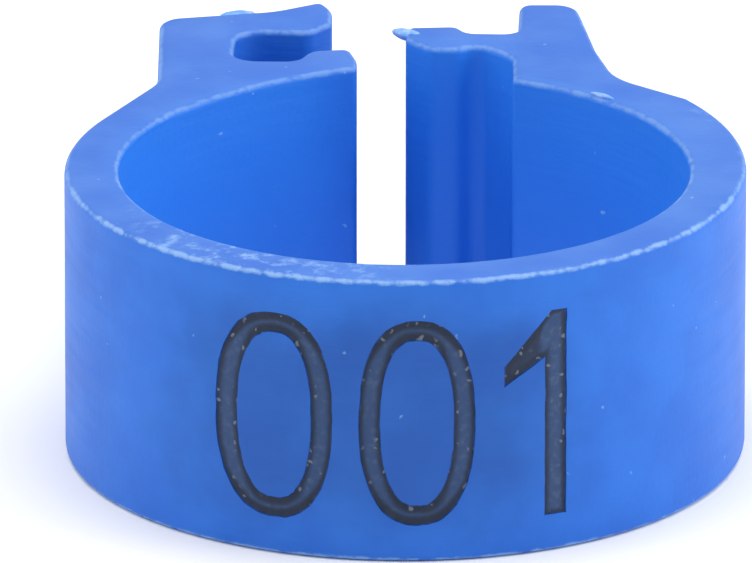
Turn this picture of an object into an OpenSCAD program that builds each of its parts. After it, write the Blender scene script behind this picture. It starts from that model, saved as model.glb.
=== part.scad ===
// Clip-on leg band for pigeons and poultry, with a three-figure number.
//
// The real band is one springy moulding: a C-shaped ring whose ends close with a snap clasp.
// It is drawn in its open, as-moulded shape, as the stretches that bend against each other.
// Each bend is a rounded end, centred on the bend's axis, that turns in the next stretch's seat.
//
// Frame: millimetres. The origin is on the axis of the leg bore, at the bottom rim.
// +Z runs up the leg, the number faces -Y, and the clasp is at +Y, its socket at -X.
// Angles along the wall are counted from the middle of the number, towards +X.

/* [Band] */
// Inner diameter of the open band
bore_d = 8.9; // [8.7:0.05:9.1]
// Thickness of the band's wall
wall = 0.85; // [0.8:0.01:0.9]
// Height of the band along the leg
band_h = 4.6; // [4:0.1:6]

/* [Bends] */
// Angle of the bend beside the number
front_bend = 50; // [46:1:56]
// Angle of the bend at the side of the leg
side_bend = 100; // [92:1:106]
// Clearance of a rounded end in its seat
bend_gap = 0.03; // [0.02:0.01:0.05]

/* [Clasp] */
// Angle at which the spring lip leaves the band
lip_root = 152; // [151:0.5:153]
// Thickness of the spring lip
lip_t = 0.95; // [0.85:0.01:1]
// Half of the opening between the lip's tip and the middle
lip_gap = 0.75; // [0.7:0.01:0.85]
// Distance from the middle to the shoulder that the lip's tip meets
shoulder_x = 1.71; // [1.7:0.01:1.74]
// Distance from the middle to the wall of the socket's pocket
pocket_x = 2.7; // [2.7:0.01:2.75]
// Height of the pocket's roof, under the outer jaw
pocket_y = 6.75; // [6.72:0.01:6.85]
// Thickness of the tongue's bead
bead_t = 1.05; // [0.9:0.01:1.08]
// Thickness of the tongue's neck
neck_t = 0.72; // [0.6:0.01:0.75]

/* [Number] */
// Height of a figure
figure_h = 3.35; // [2.8:0.05:3.6]
// Width of a zero
zero_w = 1.78; // [1.5:0.01:1.8]
// Width of a stroke
stroke = 0.33; // [0.2:0.01:0.4]
// Depth of a mark below the wall
mark_depth = 0.06; // [0.04:0.01:0.1]
// Depth of a mark's scorched face below the wall
mark_sunk = 0.02; // [0:0.01:0.03]

/* [Hidden] */
$fn = 96;

r_in = bore_d / 2;
r_out = r_in + wall;
r_mid = r_in + wall / 2;
lip_r = r_in + lip_t;

// The tongue runs straight across the gap, its bead ahead of its neck.
tongue_y = 6.22;
tip_x = 0.02;
bead_end_x = 1;
neck_end_x = 1.75;
bead_nose = 0.4;

// A lug's top, its slope to the band, and the height at which a figure sits.
lug_left_side_x = 3.87;
jaw_tip_x = 1.2;
zero_left_x = -1.98;
zero_middle_x = 0.2;
one_stem_x = 2.31;
figure_z = band_h / 2 - 0.02;
one_flag = [0.66, 0.84];
middle_lap = 5;
wall_end = 178;
number_span = 46;

moulded_blue = [0.22, 0.45, 0.9];
socket_blue = [0.3, 0.54, 0.95];
tongue_blue = [0.16, 0.38, 0.82];
scorched = [0.22, 0.29, 0.42];
spill = 1;

// Places its children on the wall, with X pointing out and Y along the wall.
module on_wall(angle) {
    rotate([0, 0, angle - 90]) translate([r_mid, 0, 0]) children();
}

// A stretch of wall from one angle to another, between two radii.
module wall_arc(from, to, outer = r_out) {
    rotate([0, 0, from - 90])
        rotate_extrude(angle = to - from)
            translate([r_in, 0]) square([outer - r_in, band_h]);
}

// A stretch of wall that ends in a half-round end, about the axis of the bend there.
module bending_stretch(from, to) {
    rotate([0, 0, to - 90]) {
        mirror([0, 1, 0]) rotate_extrude(angle = to - from)
            translate([r_in, 0]) square([wall, band_h]);
        translate([r_mid, 0, 0]) rotate_extrude(angle = 180) square([wall / 2, band_h]);
    }
}

// The room for that half-round end in the next stretch.
module bend_seat(angle) {
    on_wall(angle) translate([0, 0, -spill])
        cylinder(r = wall / 2 + bend_gap, h = band_h + 2 * spill);
}

// An outline raised to the band's height, outside the band's own wall.
module outside_wall(points) {
    difference() {
        linear_extrude(band_h) polygon(points);
        translate([0, 0, -spill]) cylinder(r = r_out, h = band_h + 2 * spill);
    }
}

// Everything on the far side of x, out past the clasp.
module beyond(x, side) {
    translate([side > 0 ? x : x - 20, 0, -spill]) cube([20, 20, band_h + 2 * spill]);
}

module left() {
    mirror([1, 0, 0]) children();
}

// A figure's outline, stood up to face -Y and cut to a thin layer of the wall.
module in_wall(inner, outer) {
    intersection() {
        rotate([0, 0, -90 - number_span])
            rotate_extrude(angle = 2 * number_span)
                translate([inner, 0]) square([outer - inner, band_h]);
        rotate([90, 0, 0]) linear_extrude(2 * r_out) children();
    }
}

// A rounded bar with its ends on the top and bottom of the figure.
module rounded_bar(w, h) {
    square([w, h - w], center = true);
    for (end = [-1, 1]) translate([0, end * (h - w) / 2]) circle(d = w);
}

module zero(x) {
    translate([x, figure_z]) difference() {
        rounded_bar(zero_w, figure_h);
        rounded_bar(zero_w - 2 * stroke, figure_h - 2 * stroke);
    }
}

module one(x) {
    top = figure_h / 2;
    half = stroke / 2;
    translate([x, figure_z]) polygon([
        [half, -top], [half, top], [-half * 0.4, top],
        [-half - one_flag[0], top - one_flag[1]],
        [-half - one_flag[0], top - one_flag[1] - stroke],
        [-half, top - one_flag[1] / 2 - stroke], [-half, -top]
    ]);
}

module mark() {
    color(scorched) in_wall(r_out - mark_depth, r_out - mark_sunk) children();
}

module number_panel() {
    color(moulded_blue) difference() {
        union() {
            bending_stretch(-middle_lap, front_bend);
            left() bending_stretch(-middle_lap, front_bend);
        }
        in_wall(r_out - mark_depth, r_out + spill) zero(zero_left_x);
        in_wall(r_out - mark_depth, r_out + spill) zero(zero_middle_x);
        in_wall(r_out - mark_depth, r_out + spill) one(one_stem_x);
    }
}

module zero_left() {
    mark() zero(zero_left_x);
}

module zero_middle() {
    mark() zero(zero_middle_x);
}

module one_right() {
    mark() one(one_stem_x);
}

// The side of the band between its two bends.
module flank() {
    difference() {
        bending_stretch(front_bend, side_bend);
        bend_seat(front_bend);
    }
}

module flank_left() {
    color(moulded_blue) left() flank();
}

module flank_right() {
    color(moulded_blue) flank();
}

// The arm that carries the socket.
module clasp_arm_left() {
    color(moulded_blue) left() difference() {
        wall_arc(side_bend, lip_root);
        bend_seat(side_bend);
    }
}

// The arm that carries the tongue. It stops short, at the shoulder that the lip's tip meets.
module clasp_arm_right() {
    color(moulded_blue) difference() {
        wall_arc(side_bend, wall_end);
        bend_seat(side_bend);
        beyond(shoulder_x, -1);
    }
}

// The thick ear beside the pocket, for a finger to push on.
module grip_lug_left() {
    color(socket_blue) outside_wall([
        [-4.6, 2.4], [-4.25, 3.4], [-4, 3.95], [-lug_left_side_x, 4.6],
        [-lug_left_side_x, 6.75], [-3.78, 7.1], [-3.5, 7.3],
        [-pocket_x, 7.5], [-pocket_x, 4], [-3.5, 3]
    ]);
}

// The ear on the tongue's side.
module grip_lug_right() {
    color(tongue_blue) outside_wall([
        [4.65, 2.4], [4.15, 3.6], [3.5, 4.25], [3.25, 4.65], [3.1, 5.3],
        [2.92, 6.7], [2.78, 7.4], [2.58, 7.8], [2.26, 7.96], [1.98, 7.88],
        [1.88, 7.5], [1.85, 6.9], [neck_end_x, 6.5], [neck_end_x, 4], [3.4, 3]
    ]);
}

// The spring lip that carries on the band's wall to the gap, inside the tongue's path.
module inner_lip() {
    color(socket_blue) left() difference() {
        wall_arc(lip_root, wall_end, lip_r);
        beyond(lip_gap, -1);
    }
}

// The jaw that reaches over the tongue from the grip lug.
module outer_jaw() {
    color(socket_blue) linear_extrude(band_h) polygon([
        [-pocket_x, 7.5], [-2.12, 7.62], [-1.65, 7.9], [-1.45, 7.98], [-1.3, 7.9],
        [-jaw_tip_x, 7.6], [-jaw_tip_x, 6.95], [-jaw_tip_x - 0.2, pocket_y],
        [-2.4, pocket_y], [-pocket_x, pocket_y - 0.15]
    ]);
}

// The thin strap from the lug to the bead, filleted into the lug on both faces.
module tongue_neck() {
    color(tongue_blue) linear_extrude(band_h) polygon([
        [bead_end_x, tongue_y - neck_t / 2 - 0.05],
        [1.3, tongue_y - neck_t / 2 - 0.05],
        [1.55, tongue_y - neck_t / 2 - 0.25],
        [neck_end_x, tongue_y - neck_t / 2 - 0.55],
        [neck_end_x, tongue_y + neck_t / 2 - 0.05],
        [1.2, tongue_y + neck_t / 2 - 0.05],
        [bead_end_x, tongue_y + neck_t / 2]
    ]);
}

// The bead that snaps into the pocket, with a chamfered nose on its inner side.
module tongue_bead() {
    color(tongue_blue) linear_extrude(band_h) polygon([
        [tip_x, tongue_y - bead_t / 2 + bead_nose],
        [tip_x + bead_nose, tongue_y - bead_t / 2],
        [bead_end_x - 0.2, tongue_y - bead_t / 2],
        [bead_end_x, tongue_y - neck_t / 2 - 0.05],
        [bead_end_x, tongue_y + neck_t / 2],
        [bead_end_x - 0.2, tongue_y + bead_t / 2],
        [tip_x, tongue_y + bead_t / 2]
    ]);
}

number_panel();
zero_left();
zero_middle();
one_right();
flank_left();
flank_right();
clasp_arm_left();
clasp_arm_right();
grip_lug_left();
grip_lug_right();
inner_lip();
outer_jaw();
tongue_neck();
tongue_bead();
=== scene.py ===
# %% [markdown]
# # A clip-on leg band
# This lesson builds the looks of a small plastic leg band for pigeons and poultry.
# The measured model is loaded first and stays fixed. Every piece made here stands where it stands.
# The band is one moulding, about as wide as a fingernail, so the bench is set up in millimetres.
# Each piece is brought down to metres when it is finished.

import math

import bmesh
import bpy
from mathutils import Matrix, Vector


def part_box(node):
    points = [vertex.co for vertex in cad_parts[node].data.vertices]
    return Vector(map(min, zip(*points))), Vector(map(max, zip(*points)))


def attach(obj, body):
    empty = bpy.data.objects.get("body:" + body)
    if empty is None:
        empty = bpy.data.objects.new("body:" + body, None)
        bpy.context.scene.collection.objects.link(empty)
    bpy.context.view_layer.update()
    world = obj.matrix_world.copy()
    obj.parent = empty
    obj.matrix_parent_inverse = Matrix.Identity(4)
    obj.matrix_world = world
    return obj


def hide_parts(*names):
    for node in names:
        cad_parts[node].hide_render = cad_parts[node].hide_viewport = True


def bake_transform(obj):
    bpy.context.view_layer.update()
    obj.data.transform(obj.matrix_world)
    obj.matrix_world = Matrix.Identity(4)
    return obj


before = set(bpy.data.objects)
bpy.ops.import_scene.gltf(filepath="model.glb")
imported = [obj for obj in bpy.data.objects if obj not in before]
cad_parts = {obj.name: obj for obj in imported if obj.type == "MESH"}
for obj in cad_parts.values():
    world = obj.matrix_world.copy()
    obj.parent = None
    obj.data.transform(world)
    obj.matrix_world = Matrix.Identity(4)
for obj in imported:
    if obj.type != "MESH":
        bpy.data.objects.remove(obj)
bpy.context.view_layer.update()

# %% [markdown]
# ## The sizes that everything else follows
# A maker takes the main sizes from the drawing, and the rest follow from those.
# Here they are read from the loaded parts' boxes, so that the looks can't drift away from the model.
# Only the thickness of the wall is given as a number, because no part's box shows it.

# %% Take the sizes from the frame
MM = 0.001
WALL = 0.85


def corner_mm(node, which):
    """One corner of a loaded part's box, in millimetres: 0 is the lowest, 1 the highest."""
    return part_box(node)[which] / MM


HEIGHT = corner_mm("number_panel", 1).z
OUTER_R = corner_mm("flank_right", 1).x
INNER_R = OUTER_R - WALL
MIDDLE_R = (INNER_R + OUTER_R) / 2
SHOULDER_X = corner_mm("clasp_arm_right", 0).x
TIP_X = corner_mm("tongue_bead", 0).x
LIP_TIP_X = corner_mm("inner_lip", 1).x
POCKET_X = corner_mm("outer_jaw", 0).x
TOP_Y = corner_mm("grip_lug_right", 1).y
print("height", round(HEIGHT, 3), "outer radius", round(OUTER_R, 3), "top of the clasp", round(TOP_Y, 3))

# %% [markdown]
# ## Hand tools
# Every operator works on what is selected, so a tool starts by putting everything else down.
# Parts of a mesh are picked by their place, as a hand would, never by their number in a list.

# %% Pick things up and put them down
def put_down():
    if bpy.context.mode != "OBJECT":
        bpy.ops.object.mode_set(mode="OBJECT")
    bpy.ops.object.select_all(action="DESELECT")


def pick_up(piece):
    put_down()
    piece.select_set(True)
    bpy.context.view_layer.objects.active = piece
    return piece


def open_up(piece, part="VERT"):
    pick_up(piece)
    bpy.ops.object.mode_set(mode="EDIT")
    bpy.ops.mesh.select_mode(type=part)


def pick(piece, part, test):
    """Selects the vertices, edges or faces of an opened piece whose place passes the test."""
    bpy.ops.mesh.select_mode(type=part)
    bpy.ops.mesh.select_all(action="DESELECT")
    mesh = bmesh.from_edit_mesh(piece.data)
    items = {"VERT": mesh.verts, "EDGE": mesh.edges, "FACE": mesh.faces}[part]
    found = [item for item in items if test(item)]
    for item in found:
        item.select_set(True)
    mesh.select_flush_mode()
    bmesh.update_edit_mesh(piece.data)
    return len(found)


def apply_all(piece):
    pick_up(piece)
    for modifier in list(piece.modifiers):
        bpy.ops.object.modifier_apply(modifier=modifier.name)


# %% [markdown]
# ## A pen that draws outlines
# The band has the same outline from its bottom rim to its top, as a moulding with a straight draw does.
# So the outline is drawn once, flat, by pushing one vertex along: extrude makes a line and spin an arc.
# The corners are drawn sharp, and each one is rounded afterwards with a vertex bevel of its own radius.
# A curve object would be as quick to draw, but its corners are harder to round exactly.

# %% The pen
class Pen:
    def __init__(self, name, x, y):
        put_down()
        bpy.ops.mesh.primitive_plane_add(size=1, location=(x, y, 0))
        self.piece = bpy.context.object
        self.piece.name = name
        bpy.ops.object.transform_apply(location=True)
        bpy.ops.object.mode_set(mode="EDIT")
        bpy.ops.mesh.select_all(action="SELECT")
        bpy.ops.mesh.merge(type="CENTER")
        self.at = Vector((x, y))
        self.corners = []

    def line(self, x, y, radius=0, steps=1):
        step = (Vector((x, y)) - self.at) / steps
        for _ in range(steps):
            bpy.ops.mesh.extrude_vertices_move(TRANSFORM_OT_translate={"value": (step.x, step.y, 0)})
        self.at = Vector((x, y))
        if radius:
            self.corners.append((x, y, radius))

    def arc(self, x, y, degrees, pace):
        """An arc about (x, y), anticlockwise for positive degrees, with a vertex every pace degrees."""
        steps = max(2, round(abs(degrees) / pace))
        turn = math.radians(degrees)
        bpy.ops.mesh.spin(steps=steps, angle=-turn, center=(x, y, 0), axis=(0, 0, 1))
        arm = self.at - Vector((x, y))
        self.at = Vector((x + arm.x * math.cos(turn) - arm.y * math.sin(turn),
                          y + arm.x * math.sin(turn) + arm.y * math.cos(turn)))

    def close(self):
        """Joins the ends, fills the outline with one face and rounds the corners."""
        bpy.ops.mesh.select_all(action="SELECT")
        bpy.ops.mesh.remove_doubles(threshold=0.001)
        bpy.ops.mesh.edge_face_add()
        for x, y, radius in self.corners:
            round_corner(self.piece, Vector((x, y, 0)), radius)
        put_down()
        return self.piece


def round_corner(piece, place, radius):
    """Bevels one corner to a radius, or to as much of it as its two edges leave room for."""
    mesh = bmesh.from_edit_mesh(piece.data)
    corner = min(mesh.verts, key=lambda v: (v.co - place).length)
    near = [edge.other_vert(corner).co - corner.co for edge in corner.link_edges]
    inside = near[0].angle(near[1])
    room = 0.49 * min(near[0].length, near[1].length)
    reach = min(radius / math.tan(inside / 2), room)
    pick(piece, "VERT", lambda v: (v.co - place).length < 1e-4)
    steps = max(2, round(math.degrees(math.pi - inside) / 10))
    bpy.ops.mesh.bevel(
        offset=reach, offset_type="OFFSET", affect="VERTICES", segments=steps, profile=0.5)


# %% [markdown]
# ## Arcs that leave the ring smoothly
# The ring isn't quite round. It opens out a little towards the clasp, so the arcs there have
# a longer radius, and a centre that is moved so that they leave the ring without a kink.
# Angles are in degrees, anticlockwise from the band's right side.

# %% Arcs and their centres
PACE = 1.5


def on_ring(radius, degrees):
    turn = math.radians(degrees)
    return radius * math.cos(turn), radius * math.sin(turn)


def easing_centre(radius, start_degrees, x, y):
    """The centre of an arc that leaves a ring smoothly at an angle and ends at (x, y)."""
    way = Vector(on_ring(1, start_degrees))
    end = Vector((x, y))
    shift = (end.length_squared - radius ** 2) / (2 * (end.dot(way) - radius))
    return way * shift


def turn_between(centre, start, end):
    """The signed angle in degrees from one point to another, as seen from a centre."""
    return math.degrees((Vector(end) - centre).angle_signed(Vector(start) - centre))


print("a vertex every", PACE, "degrees")

# %% [markdown]
# ## The outer wall
# The pen starts where the left lug leaves the ring, and goes round the front to the right lug.

# %% Draw the outer wall
LEFT_END = 153
EASE_FROM = 340
LUG_ROOT = (4.48, 3.3)
pen = Pen("band", *on_ring(OUTER_R, LEFT_END))
pen.arc(0, 0, EASE_FROM - LEFT_END, PACE)
centre = easing_centre(OUTER_R, EASE_FROM, *LUG_ROOT)
pen.arc(*centre, turn_between(centre, on_ring(OUTER_R, EASE_FROM), LUG_ROOT), PACE)
print("outer wall ends at", [round(number, 2) for number in pen.at])

# %% [markdown]
# ## The tongue
# On the right, a finger's lug stands up, and from its foot a thin neck runs across the gap to a
# thicker bead. A chamfered nose lets the bead push its way in. Below the neck the wall stops in
# a square shoulder. Each line gives the corner that it ends at and the radius of that corner.

# %% Draw the right lug, the neck and the bead
pen.line(3.35, 4.3, 1.2)
pen.line(3.04, 5.71, 2.0)
pen.line(2.84, 7.2, 1.0)
pen.line(2.74, TOP_Y - 0.08, 0.45)
pen.line(1.84, TOP_Y - 0.08, 0.2)
pen.line(1.8, 6.44, 0.25)
pen.line(1.02, 6.47, 0.2)
pen.line(0.84, 6.8, 0.2)
pen.line(TIP_X, 6.74, 0.16)
pen.line(TIP_X, 6.14, 0.2)
pen.line(0.42, 5.68, 0.3)
pen.line(0.84, 5.66, 0.25)
pen.line(1.06, 5.8, 0.3)
pen.line(1.28, 5.77, 0.2)
pen.line(1.52, 5.53, 0.3)
pen.line(SHOULDER_X, 5.24, 0.25)
SHOULDER = (SHOULDER_X, 4.18)
pen.line(*SHOULDER, 0.12)
print("tongue drawn,", len(pen.corners), "corners so far")

# %% [markdown]
# ## The inner wall
# From the shoulder the pen goes clockwise, past the front, all the way round to the tip of the lip.
# The middle stretch is round about the leg, and both ends ease out of it.

# %% Draw the inner wall
INNER_FROM = 20
INNER_TURN = -240
INNER_TO = INNER_FROM + INNER_TURN
LIP_TIP = (LIP_TIP_X, 4.75)
centre = easing_centre(INNER_R, INNER_FROM, *SHOULDER)
pen.arc(*centre, turn_between(centre, SHOULDER, on_ring(INNER_R, INNER_FROM)), PACE)
pen.arc(0, 0, INNER_TURN, PACE)
centre = easing_centre(INNER_R, INNER_TO, *LIP_TIP)
pen.arc(*centre, turn_between(centre, on_ring(INNER_R, INNER_TO), LIP_TIP), PACE)
pen.corners.append((*LIP_TIP, 0.16))
print("inner wall ends at", [round(number, 2) for number in pen.at])

# %% [markdown]
# ## The socket
# The lip's tip faces the gap. Behind it is the pocket that the bead snaps into, and over the pocket
# reaches the outer jaw, which grows out of the left lug. The lip and the jaw each have a tooth that
# holds the neck. The last line brings the pen home, and the outline is closed.

# %% Draw the lip, the pocket, the jaw and the left lug
pen.line(LIP_TIP_X, 5.2, 0.5)
pen.line(-0.86, 5.7, 0.16)
pen.line(-1.5, 5.6, 0.3)
pen.line(-1.72, 5.1, 0.25)
pen.line(POCKET_X - 0.02, 5.12, 0.55)
pen.line(POCKET_X + 0.04, 6.6, 0.6)
pen.line(-1.52, 6.47, 0.25)
pen.line(-1.15, 6.9, 0.16)
pen.line(-1.15, 7.6, 0.5)
pen.line(-1.32, 8.0, 0.18)
pen.line(-2.1, 7.53, 0.9)
pen.line(-3.9, 7.15, 0.4)
pen.line(-3.9, 4.08, 1.0)
pen.line(*on_ring(OUTER_R, LEFT_END))
band = pen.close()
print("outline", len(band.data.vertices), "vertices", len(band.data.polygons), "face")

# %% [markdown]
# ## From outline to band
# The flat face is extruded up to the band's height. A moulding has no knife edges, so both rims
# get a small rounded bevel. An attribute called rim is 1 along the bevel's middle line and fades
# to 0 on both sides of it, for the pale frayed skin that a worn mould leaves there.

# %% Raise the band and round its rims
RIM = 0.11


def raise_and_round(piece, height, rim):
    open_up(piece, "FACE")
    bpy.ops.mesh.select_all(action="SELECT")
    bpy.ops.mesh.extrude_region_move(TRANSFORM_OT_translate={"value": (0, 0, height)})
    bpy.ops.mesh.select_all(action="SELECT")
    bpy.ops.mesh.normals_make_consistent(inside=False)

    def on_rim(edge):
        a, b = (v.co.z for v in edge.verts)
        return abs(a - b) < 1e-5 and (abs(a) < 1e-5 or abs(a - height) < 1e-5)

    count = pick(piece, "EDGE", on_rim)
    bpy.ops.mesh.bevel(offset=rim, offset_type="OFFSET", affect="EDGES", segments=4, profile=0.5)
    mark_rim(piece, height, rim)
    put_down()
    print(piece.name, "has", count, "rim edges and", len(piece.data.vertices), "vertices")


def mark_rim(piece, height, rim):
    mesh = bmesh.from_edit_mesh(piece.data)
    layer = mesh.verts.layers.float.new("rim")
    for v in mesh.verts:
        depth = min(v.co.z, height - v.co.z) / rim
        if 0.01 < depth < 0.99:
            v[layer] = math.sin(2 * math.acos(1 - depth))
    bmesh.update_edit_mesh(piece.data)


raise_and_round(band, HEIGHT, RIM)

# %% [markdown]
# ## Cutting the band where it bends
# The band flexes when it is clipped on, so it is cut into stretches where it bends.
# A copy of the whole band is cut by upright planes for each stretch. The cuts are closed, and
# neighbours share each cut, so nothing shows at rest. The planes fall between two vertices of
# the wall, where the shading of both sides agrees.

# %% Planes to cut by
GAP_X = -0.35
POCKET_CUT_X = -2.55
POCKET_MIDDLE_Y = 6.1
FRONT_CUT = 35.25
SIDE_CUT = 75.75
REAR_CUT = 125.25


def radial(degrees, side):
    """A plane through the bore's axis, whose normal points on round the ring from the number."""
    turn = math.radians(degrees)
    return (0, 0, 0), (side * math.cos(turn), math.sin(turn), 0)


def away(plane):
    point, normal = plane
    return point, tuple(-n for n in normal)


print("cuts at", FRONT_CUT, SIDE_CUT, REAR_CUT, "degrees from the number")


# %% [markdown]
# ### One stretch at a time
# Bisect cuts everything that is selected along a plane. It can throw away what lies behind the
# plane and fill the cut in the same step, so a stretch is a copy of the band and a list of planes.

# %% Cut the stretches
def cut_stretch(name, planes):
    """A copy of the band, keeping what lies in front of every plane."""
    pick_up(band)
    bpy.ops.object.duplicate()
    piece = bpy.context.object
    piece.name = name
    open_up(piece)
    for point, normal in planes:
        bpy.ops.mesh.select_all(action="SELECT")
        bpy.ops.mesh.bisect(
            plane_co=point, plane_no=normal, use_fill=True, clear_inner=True, threshold=1e-5)
    put_down()
    print(name, len(piece.data.vertices), "vertices")
    return piece


front = cut_stretch("band_front", [away(radial(FRONT_CUT, 1)), away(radial(FRONT_CUT, -1))])
front_bend_right = cut_stretch("front_bend_right", [radial(FRONT_CUT, 1), away(radial(SIDE_CUT, 1))])
front_bend_left = cut_stretch("front_bend_left", [radial(FRONT_CUT, -1), away(radial(SIDE_CUT, -1))])
rear_bend_right = cut_stretch("rear_bend_right", [radial(SIDE_CUT, 1), away(radial(REAR_CUT, 1))])
rear_bend_left = cut_stretch("rear_bend_left", [radial(SIDE_CUT, -1), away(radial(REAR_CUT, -1))])
right_of_gap = ((GAP_X, 0, 0), (1, 0, 0))
right_of_pocket_cut = ((POCKET_CUT_X, 0, 0), (1, 0, 0))
behind_pocket = ((0, POCKET_MIDDLE_Y, 0), (0, 1, 0))
tongue_arm = cut_stretch("tongue_arm", [radial(REAR_CUT, 1), right_of_gap])
socket_arm = cut_stretch("socket_arm", [radial(REAR_CUT, -1), away(right_of_pocket_cut)])
clasp_side = [radial(REAR_CUT, -1), away(right_of_gap), right_of_pocket_cut]
spring_lip = cut_stretch("spring_lip", clasp_side + [away(behind_pocket)])
upper_jaw = cut_stretch("upper_jaw", clasp_side + [behind_pocket])

# %% [markdown]
# ## The number
# The figures are burnt into the front, two tall zeros and a one, and lie a hair below the surface.
# A zero starts as a rectangle whose corners are bevelled until they meet. An even inset leaves a
# stroke of constant width. The inset is made in a few steps, and an attribute called across keeps
# for each step how near it lies to the stroke's edge: 0 at the edge, 1 in the middle.

# %% Draw the figures flat
STROKE = 0.33
ZERO_STEPS = [0, 0.05, 0.165, 0.28, STROKE]
ONE_STEPS = [0, 0.05, 0.12]
FIGURE_H = corner_mm("zero_left", 1).z - corner_mm("zero_left", 0).z
FIGURE_Z = (corner_mm("zero_left", 1).z + corner_mm("zero_left", 0).z) / 2
ONE_X = corner_mm("one_right", 1).x - STROKE / 2


def zero_figure(name):
    low, high = corner_mm(name, 0), corner_mm(name, 1)
    put_down()
    bpy.ops.mesh.primitive_plane_add(size=1, location=((low.x + high.x) / 2, FIGURE_Z, 0))
    piece = bpy.context.object
    piece.scale = (high.x - low.x, FIGURE_H, 1)
    bpy.ops.object.transform_apply(location=True, scale=True)
    open_up(piece)
    bpy.ops.mesh.select_all(action="SELECT")
    bpy.ops.mesh.bevel(
        offset_pct=50, offset_type="PERCENT", affect="VERTICES", segments=18, profile=0.56)
    bpy.ops.mesh.select_all(action="SELECT")
    bpy.ops.mesh.remove_doubles(threshold=0.001)
    bpy.ops.mesh.select_mode(type="FACE")
    bpy.ops.mesh.select_all(action="SELECT")
    mark_across(piece, ZERO_STEPS)
    bpy.ops.mesh.delete(type="FACE")
    return piece


def one_figure(name):
    half, top = STROKE / 2, FIGURE_H / 2
    flag = Vector((0.62, 0.84))
    pen = Pen("one", ONE_X + half, FIGURE_Z - top)
    pen.line(ONE_X + half, FIGURE_Z + top, steps=24)
    pen.line(ONE_X - half * 0.4, FIGURE_Z + top)
    pen.line(ONE_X - half - flag.x, FIGURE_Z + top - flag.y, steps=8)
    pen.line(ONE_X - half - flag.x, FIGURE_Z + top - flag.y - STROKE)
    pen.line(ONE_X - half, FIGURE_Z + top - flag.y / 2 - STROKE, steps=3)
    pen.line(ONE_X - half, FIGURE_Z - top, steps=18)
    pen.line(ONE_X + half, FIGURE_Z - top)
    piece = pen.close()
    open_up(piece, "FACE")
    bpy.ops.mesh.select_all(action="SELECT")
    mark_across(piece, ONE_STEPS)
    return piece


def mark_across(piece, depths):
    """Insets the selected face step by step and notes on each ring of vertices how deep it lies."""
    for step in range(1, len(depths)):
        bpy.ops.mesh.inset(thickness=depths[step] - depths[step - 1], use_even_offset=True)
        mesh = bmesh.from_edit_mesh(piece.data)
        layer = mesh.verts.layers.float.get("across") or mesh.verts.layers.float.new("across")
        depth = min(depths[step], STROKE - depths[step])
        for v in (v for face in mesh.faces if face.select for v in face.verts):
            v[layer] = depth / (STROKE / 2)
        bmesh.update_edit_mesh(piece.data)


# %% [markdown]
# ## Wrapping a figure round the wall
# A laser follows the curve of the band, so each flat figure is stood up and pressed straight back
# onto a mandrel of the right radius. It can only curve where it has vertices, so a grid of cuts goes
# over it first. The heat leaves a slightly uneven edge, which a small random move gives.

# %% Stand the figures up
UNEVEN = 0.012
GRID = 0.11
GRID_CUTS = (60, 50)


def stand_up(piece, name, seed):
    open_up(piece)
    bpy.ops.mesh.select_all(action="SELECT")
    bpy.ops.transform.vertex_random(offset=UNEVEN, seed=seed)
    for axis, count in enumerate(GRID_CUTS):
        for step in range(count):
            place = [0, 0, 0]
            place[axis] = (step - count / 2) * GRID + (FIGURE_Z if axis else 0)
            normal = [0, 0, 0]
            normal[axis] = 1
            bpy.ops.mesh.select_all(action="SELECT")
            bpy.ops.mesh.bisect(plane_co=place, plane_no=normal, threshold=1e-4)
    pick_up(piece)
    piece.rotation_euler = (math.radians(90), 0, 0)
    piece.location = (0, -2 * OUTER_R, 0)
    bpy.ops.object.transform_apply(location=True, rotation=True)
    piece.name = name
    if sum(face.normal.y for face in piece.data.polygons) > 0:
        open_up(piece)
        bpy.ops.mesh.select_all(action="SELECT")
        bpy.ops.mesh.flip_normals()
        put_down()
    return piece


sheets = {
    "zero_left": stand_up(zero_figure("zero_left"), "sheet_left", 3),
    "zero_middle": stand_up(zero_figure("zero_middle"), "sheet_middle", 8),
    "one_right": stand_up(one_figure("one_right"), "sheet_right", 5),
}
print({node: len(sheet.data.vertices) for node, sheet in sheets.items()})

# %% [markdown]
# ### Thicken the marks and cut their recesses
# Shrinkwrap presses a copy of the sheet onto the mandrel, and Solidify thickens it outwards.
# The same figure, made thicker, is the tool that cuts its own recess with a boolean.

# %% Wrap, thicken and cut
MARK_R = OUTER_R - 0.02
RECESS_R = OUTER_R - 0.06
CUTTER_THICKNESS = 0.3


def wrap(sheet, name, radius, thickness):
    """A copy of the sheet on a mandrel of that radius, thickened outwards."""
    put_down()
    bpy.ops.mesh.primitive_cylinder_add(vertices=720, radius=radius, depth=2 * HEIGHT)
    mandrel = bpy.context.object
    pick_up(sheet)
    bpy.ops.object.duplicate()
    piece = bpy.context.object
    piece.name = name
    press = piece.modifiers.new("press", "SHRINKWRAP")
    press.target = mandrel
    press.wrap_method = "PROJECT"
    press.use_project_y = True
    press.use_positive_direction = True
    press.use_negative_direction = False
    apply_all(piece)
    thicken = piece.modifiers.new("thicken", "SOLIDIFY")
    thicken.thickness = thickness
    thicken.offset = 1
    apply_all(piece)
    open_up(piece)
    bpy.ops.mesh.select_all(action="SELECT")
    bpy.ops.mesh.normals_make_consistent(inside=False)
    put_down()
    bpy.data.objects.remove(mandrel)
    return piece


marks = {}
for node, sheet in sheets.items():
    marks[node] = wrap(sheet, "mark_" + node, RECESS_R, MARK_R - RECESS_R)
    cutter = wrap(sheet, "cutter", RECESS_R, CUTTER_THICKNESS)
    sink = front.modifiers.new("sink", "BOOLEAN")
    sink.object = cutter
    sink.solver = "EXACT"
    apply_all(front)
    bpy.data.objects.remove(cutter)
    bpy.data.objects.remove(sheet)
    print(node, len(marks[node].data.vertices), "vertices, front now", len(front.data.vertices))

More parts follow.
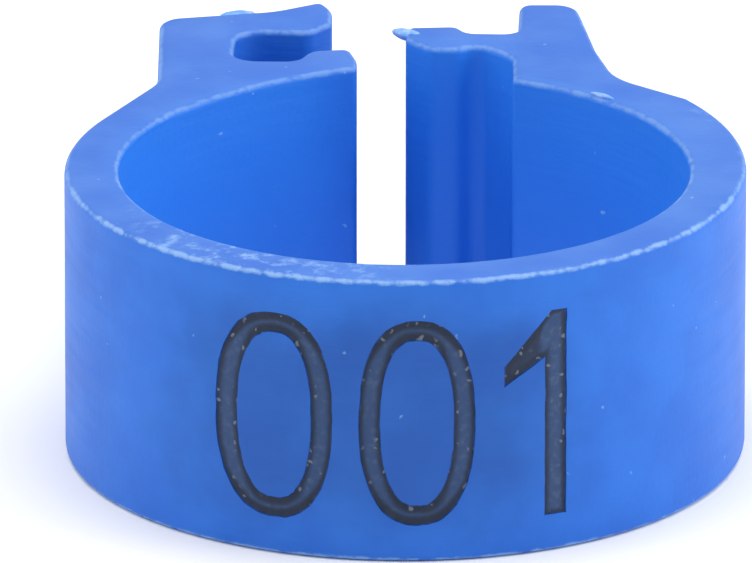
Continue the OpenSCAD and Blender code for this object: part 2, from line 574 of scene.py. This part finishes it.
# %% [markdown]
# ## Flash
# Where the mould's halves don't quite meet, a thin skin of plastic creeps out and sets.
# This band has a blob of it on the tongue's tip, a fin behind the left lug and a flake on the rim.
# Each starts as a sphere, is flattened, and is pushed out of true by a small random move.
# Sculpting would do as well, but a seeded move comes out the same every time.

# %% Make the flash
UNTRUE = 0.1


def flash(name, place, size, turn, seed):
    put_down()
    bpy.ops.mesh.primitive_uv_sphere_add(segments=20, ring_count=12, radius=0.5, location=place)
    piece = bpy.context.object
    piece.name = name
    piece.scale = size
    piece.rotation_euler = (0, 0, math.radians(turn))
    bpy.ops.object.transform_apply(location=True, rotation=True, scale=True)
    open_up(piece)
    bpy.ops.mesh.select_all(action="SELECT")
    bpy.ops.transform.vertex_random(offset=UNTRUE * min(size), seed=seed)
    bpy.ops.mesh.select_all(action="SELECT")
    bpy.ops.mesh.vertices_smooth(factor=0.5, repeat=1)
    put_down()
    return piece


tip_flash = flash("tip_flash", (TIP_X + 0.06, 6.5, HEIGHT - 0.07), (0.72, 0.28, 0.18), -42, 2)
lug_flash = flash("lug_flash", (-2.66, 7.44, HEIGHT - 0.06), (0.6, 0.24, 0.16), 14, 4)
rim_flake = flash("rim_flake", (3.12, 3.36, HEIGHT), (0.5, 0.12, 0.09), -42, 6)
FLASH = [tip_flash, lug_flash, rim_flake]
print("flash", [piece.name for piece in FLASH])

# %% [markdown]
# ## Materials
# All the finishes share a few small effects, so those are node groups that are built once.
# Patterns are laid out in millimetres, on the place that each piece had at rest. The pieces carry
# that place as an attribute, because a pattern on plain coordinates would slide where the wall bends.

# %% Add nodes and groups
def add(tree, kind, settings=None, **inputs):
    """A node with its settings, and its inputs filled from values or from other nodes' outputs."""
    made = tree.nodes.new(kind)
    for name, value in (settings or {}).items():
        setattr(made, name, value)
    for name, value in inputs.items():
        key = int(name[1:]) if name[1:].isdigit() else name.replace("_", " ")
        socket = made.inputs[key]
        if isinstance(value, bpy.types.NodeSocket):
            tree.links.new(value, socket)
        else:
            socket.default_value = value
    return made


def new_group(name, inputs, outputs):
    tree = bpy.data.node_groups.new(name, "ShaderNodeTree")
    for kind, label, default in inputs:
        socket = tree.interface.new_socket(label, in_out="INPUT", socket_type="NodeSocket" + kind)
        if default is not None:
            socket.default_value = default
    for kind, label in outputs:
        tree.interface.new_socket(label, in_out="OUTPUT", socket_type="NodeSocket" + kind)
    return tree, tree.nodes.new("NodeGroupInput"), tree.nodes.new("NodeGroupOutput")


def place_group(tree, group, **inputs):
    return add(tree, "ShaderNodeGroup", {"node_tree": group}, **inputs)


print("node tools ready")


# %% [markdown]
# ### Arithmetic with nodes
# A mask is a number from 0 to 1 at every point. Masks are made by fading along an axis or across
# a noise, put together by multiplying, and used as the share of one colour in a mix of two.

# %% Sums, mixes, fades and noises
def maths(tree, operation, a, b=0.0, c=0.0):
    return add(tree, "ShaderNodeMath", {"operation": operation}, _0=a, _1=b, _2=c).outputs[0]


def mix_colours(tree, share, a, b, blend="MIX"):
    settings = {"data_type": "RGBA", "blend_type": blend}
    return add(tree, "ShaderNodeMix", settings, _0=share, _6=a, _7=b).outputs[2]


def fade(tree, value, low, high):
    """0 below low and 1 above high, smooth between. With high below low it falls instead."""
    inputs = {"Value": value, "From_Min": low, "From_Max": high}
    return add(tree, "ShaderNodeMapRange", {"interpolation_type": "SMOOTHSTEP"}, **inputs).outputs[0]


def noise(tree, place, scale, detail, roughness=0.5):
    inputs = {"Vector": place, "Scale": scale, "Detail": detail, "Roughness": roughness}
    return add(tree, "ShaderNodeTexNoise", **inputs).outputs[0]


def millimetres(tree):
    """The place that a point had at rest, in millimetres, which note_place has left on the piece."""
    return add(tree, "ShaderNodeAttribute", {"attribute_name": "place"}).outputs["Vector"]


print("mask tools ready")


# %% [markdown]
# ### Flow, cloud and grain
# Plastic flows round the mould in level streaks, its colour is a little cloudy, and its skin has
# a very fine grain. Stretching a noise in plan and squeezing it in height gives the streaks.

# %% Group for the flow of the plastic
STREAK_SHAPE = (0.35, 0.35, 4.0)
CLOUD_SCALE = 0.8
GRAIN_SCALE = 9.0


def streak_group():
    tree, given, out = new_group(
        "flow_streaks", [("Vector", "Place", None), ("Float", "Fineness", 1.0)],
        [("Float", "Streak"), ("Float", "Mottle"), ("Float", "Height")])
    place = given.outputs["Place"]
    flat = add(tree, "ShaderNodeMapping", Vector=place, Scale=STREAK_SHAPE).outputs[0]
    streak = noise(tree, flat, given.outputs["Fineness"], 4.0)
    mottle = noise(tree, place, CLOUD_SCALE, 3.0)
    grain = noise(tree, place, GRAIN_SCALE, 3.0)
    height = maths(tree, "MULTIPLY_ADD", streak, 0.7, maths(tree, "MULTIPLY", grain, 0.3))
    tree.links.new(streak, out.inputs["Streak"])
    tree.links.new(mottle, out.inputs["Mottle"])
    tree.links.new(height, out.inputs["Height"])
    return tree


streaks = streak_group()
print(streaks.name, "puts out", [socket.name for socket in streaks.interface.items_tree])


# %% [markdown]
# ### Specks
# A few pale specks of dust and chipped plastic lie on everything. The cells of a Voronoi texture
# make them: each cell has a random colour that decides whether it holds a speck at all, and the
# distance from its centre gives the speck its size. A little noise bends them out of round.

# %% Group for specks
def speck_group():
    tree, given, out = new_group(
        "pale_specks",
        [("Vector", "Place", None), ("Float", "Spacing", 1.4), ("Float", "Amount", 0.06)],
        [("Float", "Mask")])
    wander = add(tree, "ShaderNodeTexNoise", Vector=given.outputs["Place"], Scale=5.0, Detail=2.0)
    bent = mix_colours(tree, 0.12, given.outputs["Place"], wander.outputs["Color"], "LINEAR_LIGHT")
    cells = add(tree, "ShaderNodeTexVoronoi", Vector=bent, Scale=given.outputs["Spacing"]).outputs
    amount = given.outputs["Amount"]
    spot = fade(tree, cells["Distance"], amount, maths(tree, "MULTIPLY", amount, 0.5))
    lot = add(tree, "ShaderNodeSeparateColor", Color=cells["Color"]).outputs[0]
    chosen = fade(tree, lot, 0.45, 0.55)
    tree.links.new(maths(tree, "MULTIPLY", spot, chosen), out.inputs["Mask"])
    return tree


specks = speck_group()
print(specks.name, "puts out", [socket.name for socket in specks.interface.items_tree])


# %% [markdown]
# ### Frayed rims
# Where the mould's halves part, the skin is torn and whitish, in broken dashes and not in a clean
# line. So the group takes a measure of how near the rim is and lets a noise eat into it.

# %% Group for frayed rims
def burr_group():
    tree, given, out = new_group(
        "frayed_rim",
        [("Vector", "Place", None), ("Float", "Rim", 0.0), ("Float", "Fray", 0.5)],
        [("Float", "Mask")])
    ragged = noise(tree, given.outputs["Place"], 4.5, 5.0, 0.65)
    raised = maths(tree, "MULTIPLY_ADD", ragged, 2.6, -1.45)
    line = maths(tree, "MULTIPLY_ADD", raised, given.outputs["Fray"], given.outputs["Rim"])
    mask = maths(tree, "MULTIPLY", fade(tree, line, 0.25, 1.0), given.outputs["Rim"])
    tree.links.new(mask, out.inputs["Mask"])
    return tree


burr = burr_group()
print(burr.name, "puts out", [socket.name for socket in burr.interface.items_tree])


# %% [markdown]
# ### Masks on the moulded plastic
# Four parts of the band look different from the rest. Light that has crossed the wall makes the
# inner faces and the tongue's face glow, and that glow is painted into the colour. The laser
# has left a dull haze round the number. The top face has painted light from above: a greyer blue,
# paler in patches. It is also scuffed at the front left, and the rims are frayed.
# Each mask is a small function of a point's place, which is easier to change than a painted map.

# %% Where the plastic glows and where it is hazy
def box_mask(tree, value, low, high, soft):
    """1 between low and high, falling off over a soft border on both sides."""
    rise = fade(tree, value, low - soft, low + soft)
    fall = fade(tree, value, high + soft, high - soft)
    return maths(tree, "MULTIPLY", rise, fall)


def distance_from_axis(tree, place):
    plan = add(tree, "ShaderNodeVectorMath", {"operation": "MULTIPLY"}, _0=place, _1=(1, 1, 0))
    length = add(tree, "ShaderNodeVectorMath", {"operation": "LENGTH"}, _0=plan.outputs[0])
    return length.outputs["Value"]


# Painted glow: this mask marks where a brighter blue is painted in for light that crosses the wall.
def glow_mask(tree, axes, radius):
    inside = fade(tree, radius, MIDDLE_R, INNER_R + 0.15)
    tongue_x = box_mask(tree, axes["X"], TIP_X, SHOULDER_X + 0.05, 0.05)
    tongue_y = box_mask(tree, axes["Y"], 4.8, 6.2, 0.1)
    return maths(tree, "MAXIMUM", inside, maths(tree, "MULTIPLY", tongue_x, tongue_y))


def haze_mask(tree, place, axes, radius):
    drift = maths(tree, "MULTIPLY_ADD", noise(tree, place, 0.9, 3.0), 1.6, -0.8)
    across = box_mask(tree, maths(tree, "ADD", axes["X"], drift), -3.3, 2.3, 0.9)
    up = box_mask(tree, maths(tree, "ADD", axes["Z"], drift), 0.7, 4.0, 0.7)
    outside = fade(tree, radius, MIDDLE_R, OUTER_R - 0.2)
    front = fade(tree, axes["Y"], 0, -1)
    patch = maths(tree, "MULTIPLY", across, up)
    return maths(tree, "MULTIPLY", patch, maths(tree, "MULTIPLY", outside, front))


print("glow and haze masks ready")


# %% [markdown]
# ### Masks for wear
# The scuffs are a noise that only shows on the top face at the front left. The rim's mask is the
# rim attribute of the bevel, and a weaker band on the top face along both edges of the ring.

# %% Where the plastic is scuffed and frayed
def scuff_mask(tree, place, axes, top):
    crumbs = fade(tree, noise(tree, place, 4.0, 6.0, 0.7), 0.48, 0.72)
    front = fade(tree, axes["Y"], -1.0, -2.6)
    left = box_mask(tree, axes["X"], -4.0, -0.4, 0.8)
    patch = maths(tree, "MULTIPLY", left, front)
    return maths(tree, "MULTIPLY", maths(tree, "MULTIPLY", patch, top), crumbs)


def rim_mask(tree, axes, radius, top):
    bevel = add(tree, "ShaderNodeAttribute", {"attribute_name": "rim"}).outputs["Fac"]
    from_middle = maths(tree, "ABSOLUTE", maths(tree, "SUBTRACT", radius, MIDDLE_R))
    beside = maths(tree, "MULTIPLY", fade(tree, from_middle, 0.2, 0.42), top)
    beside = maths(tree, "MULTIPLY", beside, fade(tree, axes["Y"], 3.2, 2.6))
    return maths(tree, "MAXIMUM", bevel, maths(tree, "MULTIPLY", beside, 0.55))


print("wear masks ready")

# %% [markdown]
# ### Moulded plastic
# The band is a fairly glossy sky-blue thermoplastic. The basic blue is laid down first, then each
# mask mixes its own colour over it, from the broadest effect to the finest.

# %% Moulded blue plastic
DEEP_BLUE = (0.010, 0.135, 0.62, 1)
LIGHT_BLUE = (0.016, 0.165, 0.69, 1)
PALE_BLUE = (0.27, 0.50, 0.84, 1)
FRAYED_BLUE = (0.36, 0.58, 0.86, 1)
# GLOW_BLUE is a painted glow: a brighter blue that stands in for light crossing the wall.
GLOW_BLUE = (0.024, 0.225, 0.80, 1)
# The top face's greyer blue is painted light from above.
TOP_LIT_BLUE = (0.040, 0.148, 0.565, 1)
HAZE_BLUE = (0.45, 0.66, 0.70, 1)
PLASTIC_IOR = 1.42
SKIN_DEPTH = 0.03 * MM


def new_material(name):
    material = bpy.data.materials.new(name)
    material.use_nodes = True
    tree = material.node_tree
    return material, tree, tree.nodes["Principled BSDF"]


def plastic_colour(tree, place, axes, skin, frayed, glow, top, haze):
    colour = mix_colours(tree, fade(tree, skin["Mottle"], 0.3, 0.7), DEEP_BLUE, LIGHT_BLUE)
    # Painted glow: a brighter blue on the inner faces and the tongue's face stands in for light that
    # crosses the wall.
    colour = mix_colours(tree, maths(tree, "MULTIPLY", glow, 0.85), colour, GLOW_BLUE)
    colour = mix_colours(tree, haze, colour, mix_colours(tree, 1.0, colour, HAZE_BLUE, "MULTIPLY"))
    # Painted light: the top face gets a greyer blue that stands in for the light from above.
    colour = mix_colours(tree, maths(tree, "MULTIPLY", top, 0.85), colour, TOP_LIT_BLUE)
    # More painted light: the top face is paler in patches that follow the mottle.
    top_light_patches = maths(tree, "MULTIPLY", top, fade(tree, skin["Mottle"], 0.3, 0.8))
    colour = mix_colours(tree, maths(tree, "MULTIPLY", top_light_patches, 0.12), colour, PALE_BLUE)
    scuffed = maths(tree, "MULTIPLY", scuff_mask(tree, place, axes, top), 0.6)
    colour = mix_colours(tree, scuffed, colour, FRAYED_BLUE)
    paler = maths(tree, "MULTIPLY_ADD", fade(tree, axes["Y"], 1.5, -3.0), 0.3, 0.32)
    colour = mix_colours(tree, maths(tree, "MULTIPLY", frayed, paler), colour, FRAYED_BLUE)
    dust = place_group(tree, specks, Place=place, Spacing=2.2, Amount=0.08).outputs["Mask"]
    # The specks show more where the painted glow is.
    dust = maths(tree, "MULTIPLY", dust, maths(tree, "MULTIPLY_ADD", glow, 0.3, 0.4))
    return mix_colours(tree, dust, colour, PALE_BLUE)


def rough_skin(tree, shader, roughness, height, strength, depth):
    """Links a varying roughness and a fine relief to the shader."""
    tree.links.new(roughness, shader.inputs["Roughness"])
    bump = add(tree, "ShaderNodeBump", Height=height, Strength=strength, Distance=depth)
    tree.links.new(bump.outputs["Normal"], shader.inputs["Normal"])


def moulded_plastic():
    material, tree, shader = new_material("moulded_plastic")
    place = millimetres(tree)
    axes = add(tree, "ShaderNodeSeparateXYZ", Vector=place).outputs
    radius = distance_from_axis(tree, place)
    skin = place_group(tree, streaks, Place=place, Fineness=1.6).outputs
    top = fade(tree, axes["Z"], HEIGHT - 0.09, HEIGHT - 0.01)
    rim = rim_mask(tree, axes, radius, top)
    frayed = place_group(tree, burr, Place=place, Rim=rim, Fray=1.0).outputs["Mask"]
    glow = glow_mask(tree, axes, radius)
    haze = haze_mask(tree, place, axes, radius)
    colour = plastic_colour(tree, place, axes, skin, frayed, glow, top, haze)
    tree.links.new(colour, shader.inputs["Base Color"])
    rough = maths(tree, "MULTIPLY_ADD", skin["Streak"], 0.18, 0.4)
    rough = maths(tree, "MULTIPLY_ADD", frayed, 0.2, rough)
    rough_skin(tree, shader, rough, skin["Height"], 0.5, SKIN_DEPTH)
    shader.inputs["IOR"].default_value = PLASTIC_IOR
    return material


plastic = moulded_plastic()
print("material", plastic.name, "with", len(plastic.node_tree.nodes), "nodes")


# %% [markdown]
# ### Laser mark
# A laser scorches the plastic to a slate grey, nearly black along the edges of each stroke, where
# the melt has piled up, and leaves pale specks there. It slows down where a stroke turns, so the
# tops and bottoms of the zeros and the flag of the one are darker still. The strokes carry their
# own measure of how far in a point lies, so the dark edge follows every curve.

# %% Scorched mark
SLATE = (0.022, 0.058, 0.160, 1)
SOOT = (0.007, 0.017, 0.044, 1)
ASH = (0.05, 0.09, 0.19, 1)
SPECK = (0.22, 0.26, 0.30, 1)
EDGE_BLUE = (0.007, 0.075, 0.36, 1)
SCORCH_DEPTH = 0.04 * MM


def slow_mask(tree, place):
    """1 where the laser slows down: the ends of the zeros and the flag of the one."""
    axes = add(tree, "ShaderNodeSeparateXYZ", Vector=place).outputs
    from_middle = maths(tree, "ABSOLUTE", maths(tree, "SUBTRACT", axes["Z"], FIGURE_Z))
    zeros = fade(tree, axes["X"], 1.5, 1.3)
    ends = maths(tree, "MULTIPLY", fade(tree, from_middle, 0.9, 1.5), zeros)
    flag = box_mask(tree, axes["X"], ONE_X - 0.9, ONE_X - 0.2, 0.08)
    return maths(tree, "MAXIMUM", ends, flag)


def laser_mark():
    material, tree, shader = new_material("laser_mark")
    place = millimetres(tree)
    across = add(tree, "ShaderNodeAttribute", {"attribute_name": "across"}).outputs["Fac"]
    wander = noise(tree, place, 6.0, 4.0)
    ragged = maths(tree, "MULTIPLY_ADD", maths(tree, "SUBTRACT", wander, 0.5), 0.35, across)
    crumbs = noise(tree, place, 9.0, 4.0)
    colour = mix_colours(tree, fade(tree, crumbs, 0.45, 0.8), SLATE, ASH)
    slow = maths(tree, "MULTIPLY", slow_mask(tree, place), 0.45)
    edge = fade(tree, maths(tree, "SUBTRACT", ragged, slow), 0.75, 0.1)
    colour = mix_colours(tree, edge, colour, SOOT)
    ash = place_group(tree, specks, Place=place, Spacing=7.0, Amount=0.32).outputs["Mask"]
    ash = maths(tree, "MULTIPLY", ash, fade(tree, ragged, 0.8, 0.4))
    colour = mix_colours(tree, maths(tree, "MULTIPLY", ash, 0.55), colour, SPECK)
    outline = maths(tree, "MULTIPLY", fade(tree, ragged, 0.2, -0.1), 0.7)
    colour = mix_colours(tree, outline, colour, EDGE_BLUE)
    tree.links.new(colour, shader.inputs["Base Color"])
    rough_skin(tree, shader, maths(tree, "MULTIPLY_ADD", wander, 0.3, 0.6), wander, 0.6, SCORCH_DEPTH)
    return material


scorched = laser_mark()
print("material", scorched.name, "with", len(scorched.node_tree.nodes), "nodes")

# %% [markdown]
# ### Thin flash
# Flash is the same plastic, but so thin that light comes through it, so it looks much paler.
# A translucent shader could do that, but the pieces are so small that a paler colour is enough.

# %% Pale plastic for the flash
FLASH_BLUE = (0.12, 0.33, 0.80, 1)
FLASH_WHITE = (0.45, 0.62, 0.92, 1)


def thin_flash():
    material, tree, shader = new_material("thin_flash")
    place = millimetres(tree)
    skin = place_group(tree, streaks, Place=place, Fineness=4.0).outputs
    frayed = place_group(tree, burr, Place=place, Rim=0.7, Fray=1.0).outputs["Mask"]
    colour = mix_colours(tree, frayed, FLASH_BLUE, FLASH_WHITE)
    tree.links.new(colour, shader.inputs["Base Color"])
    rough = maths(tree, "MULTIPLY_ADD", skin["Streak"], 0.2, 0.3)
    rough_skin(tree, shader, rough, skin["Height"], 0.5, SKIN_DEPTH)
    return material


flash_plastic = thin_flash()
print("material", flash_plastic.name, "with", len(flash_plastic.node_tree.nodes), "nodes")

# %% [markdown]
# ## Dress the pieces
# Each piece first notes the places of its vertices for the patterns, then goes down to metres and
# gets its finish. Shading is smooth except where two faces meet at more than 32 degrees.

# %% Notes, metres and finishes
SMOOTH_BELOW = math.radians(32)


def note_place(piece):
    """Keeps every vertex's place at rest, in millimetres, so that no pattern slides as a piece bends."""
    layer = piece.data.attributes.new("place", "FLOAT_VECTOR", "POINT")
    for vertex, item in zip(piece.data.vertices, layer.data):
        item.vector = vertex.co


def to_metres(piece):
    pick_up(piece)
    piece.scale = (MM, MM, MM)
    bpy.ops.object.transform_apply(scale=True)
    bpy.ops.object.shade_smooth_by_angle(angle=SMOOTH_BELOW)


def dress(piece, material):
    note_place(piece)
    to_metres(piece)
    piece.data.materials.clear()
    piece.data.materials.append(material)


BANDS = [front, front_bend_right, front_bend_left, rear_bend_right, rear_bend_left,
         tongue_arm, socket_arm, spring_lip, upper_jaw]
for piece in BANDS:
    dress(piece, plastic)
for piece in FLASH:
    dress(piece, flash_plastic)
for piece in marks.values():
    dress(piece, scorched)
bpy.data.objects.remove(band)
print("dressed", len(BANDS), "stretches,", len(FLASH), "bits of flash and", len(marks), "marks")

# %% [markdown]
# ## Hand the pieces to the model
# The front, the tongue's arm, the socket's arm, the marks and the flash are attached to the moving
# body that each of them follows. The four bends, the spring lip and the upper jaw only have their
# place baked into their mesh and follow no body. Where a piece stands for plain parts of the model,
# those parts are hidden.


for node, piece in marks.items():
    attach(piece, "number_front")
    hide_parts(node)
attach(front, "number_front")
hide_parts("number_panel")
for piece, side, near, far, flank in (
        (front_bend_right, 1, "number_front", "flank_r", "flank_right"),
        (front_bend_left, -1, "number_front", "flank_l", "flank_left")):
    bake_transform(piece)
    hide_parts(flank)
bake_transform(rear_bend_right)
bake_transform(rear_bend_left)
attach(tongue_arm, "tongue_end")
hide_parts("clasp_arm_right", "grip_lug_right", "tongue_neck", "tongue_bead")
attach(socket_arm, "socket_end")
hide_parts("clasp_arm_left", "grip_lug_left")
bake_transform(spring_lip)
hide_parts("inner_lip")
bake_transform(upper_jaw)
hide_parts("outer_jaw")
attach(tip_flash, "tongue_end")
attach(rim_flake, "tongue_end")
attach(lug_flash, "socket_end")
print("pieces", len(BANDS) + len(marks) + len(FLASH))

# %% [markdown]
# ## The floor
# The band stands on a plain, matt, nearly white floor, which is a backdrop and no part of the band.

# %% The floor
FLOOR_WHITE = (0.93, 0.93, 0.93, 1)
FLOOR_WHITER = (0.95, 0.95, 0.95, 1)
put_down()
bpy.ops.mesh.primitive_plane_add(size=4)
floor = bpy.context.object
floor.name = "studio_floor"


def pale_floor():
    material, tree, shader = new_material("pale_floor")
    place = add(tree, "ShaderNodeTexCoord").outputs["Object"]
    tint = noise(tree, place, 3.0, 2.0)
    colour = mix_colours(tree, tint, FLOOR_WHITE, FLOOR_WHITER)
    tree.links.new(colour, shader.inputs["Base Color"])
    shader.inputs["Roughness"].default_value = 0.9
    return material


floor.data.materials.append(pale_floor())
print("floor", tuple(floor.dimensions))

# %% [markdown]
# ## The lights
# Big soft lights, one at each side and one overhead, leave no hard shadow. With an even white
# world round them, the sides and rims come out paler than the front.

# %% Lights and world
SIDE_SIZE = 0.18
TOP_SIZE = 0.25
AIR_STRENGTH = 0.53


def soft_light(name, place, size, energy):
    data = bpy.data.lights.new(name, "AREA")
    data.shape = "SQUARE"
    data.size = size
    data.energy = energy
    lamp = bpy.data.objects.new(name, data)
    bpy.context.scene.collection.objects.link(lamp)
    lamp.location = place
    lamp.rotation_euler = (-Vector(place)).to_track_quat("-Z", "Y").to_euler()
    print(name, energy, "W")


soft_light("left_softbox", (-0.22, 0.0, 0.12), SIDE_SIZE, 0.18)
soft_light("right_softbox", (0.22, 0.0, 0.12), SIDE_SIZE, 0.33)
soft_light("top_softbox", (0, 0.02, 0.3), TOP_SIZE, 0.64)

world = bpy.data.worlds.new("studio_air")
bpy.context.scene.world = world
world.use_nodes = True
air = world.node_tree.nodes["Background"]
air.inputs["Color"].default_value = (1, 1, 1, 1)
air.inputs["Strength"].default_value = AIR_STRENGTH
bpy.context.scene.view_settings.view_transform = "Standard"

# %% [markdown]
# ## The camera
# A long lens, from well in front and a little above, keeps the perspective nearly flat, so the
# figures stay upright. It aims at the middle of the bore, and a small shift centres the band.

# %% Camera
ELEVATION = math.radians(19.79)
DISTANCE = 0.3
ROLL = math.radians(0.06)
target = Vector((0, 0, 0.0023))
camera_data = bpy.data.cameras.new("camera")
camera_data.sensor_width = 36
camera_data.lens = 919
camera_data.shift_x = -0.0373
camera_data.shift_y = 0.0321
camera_data.clip_start = 0.01
camera = bpy.data.objects.new("camera", camera_data)
bpy.context.scene.collection.objects.link(camera)
camera.location = target + DISTANCE * Vector((0, -math.cos(ELEVATION), math.sin(ELEVATION)))
camera.rotation_euler = (target - camera.location).to_track_quat("-Z", "Y").to_euler()
camera.rotation_euler.rotate_axis("Z", ROLL)
bpy.context.scene.camera = camera
print("camera at", [round(number, 3) for number in camera.location])
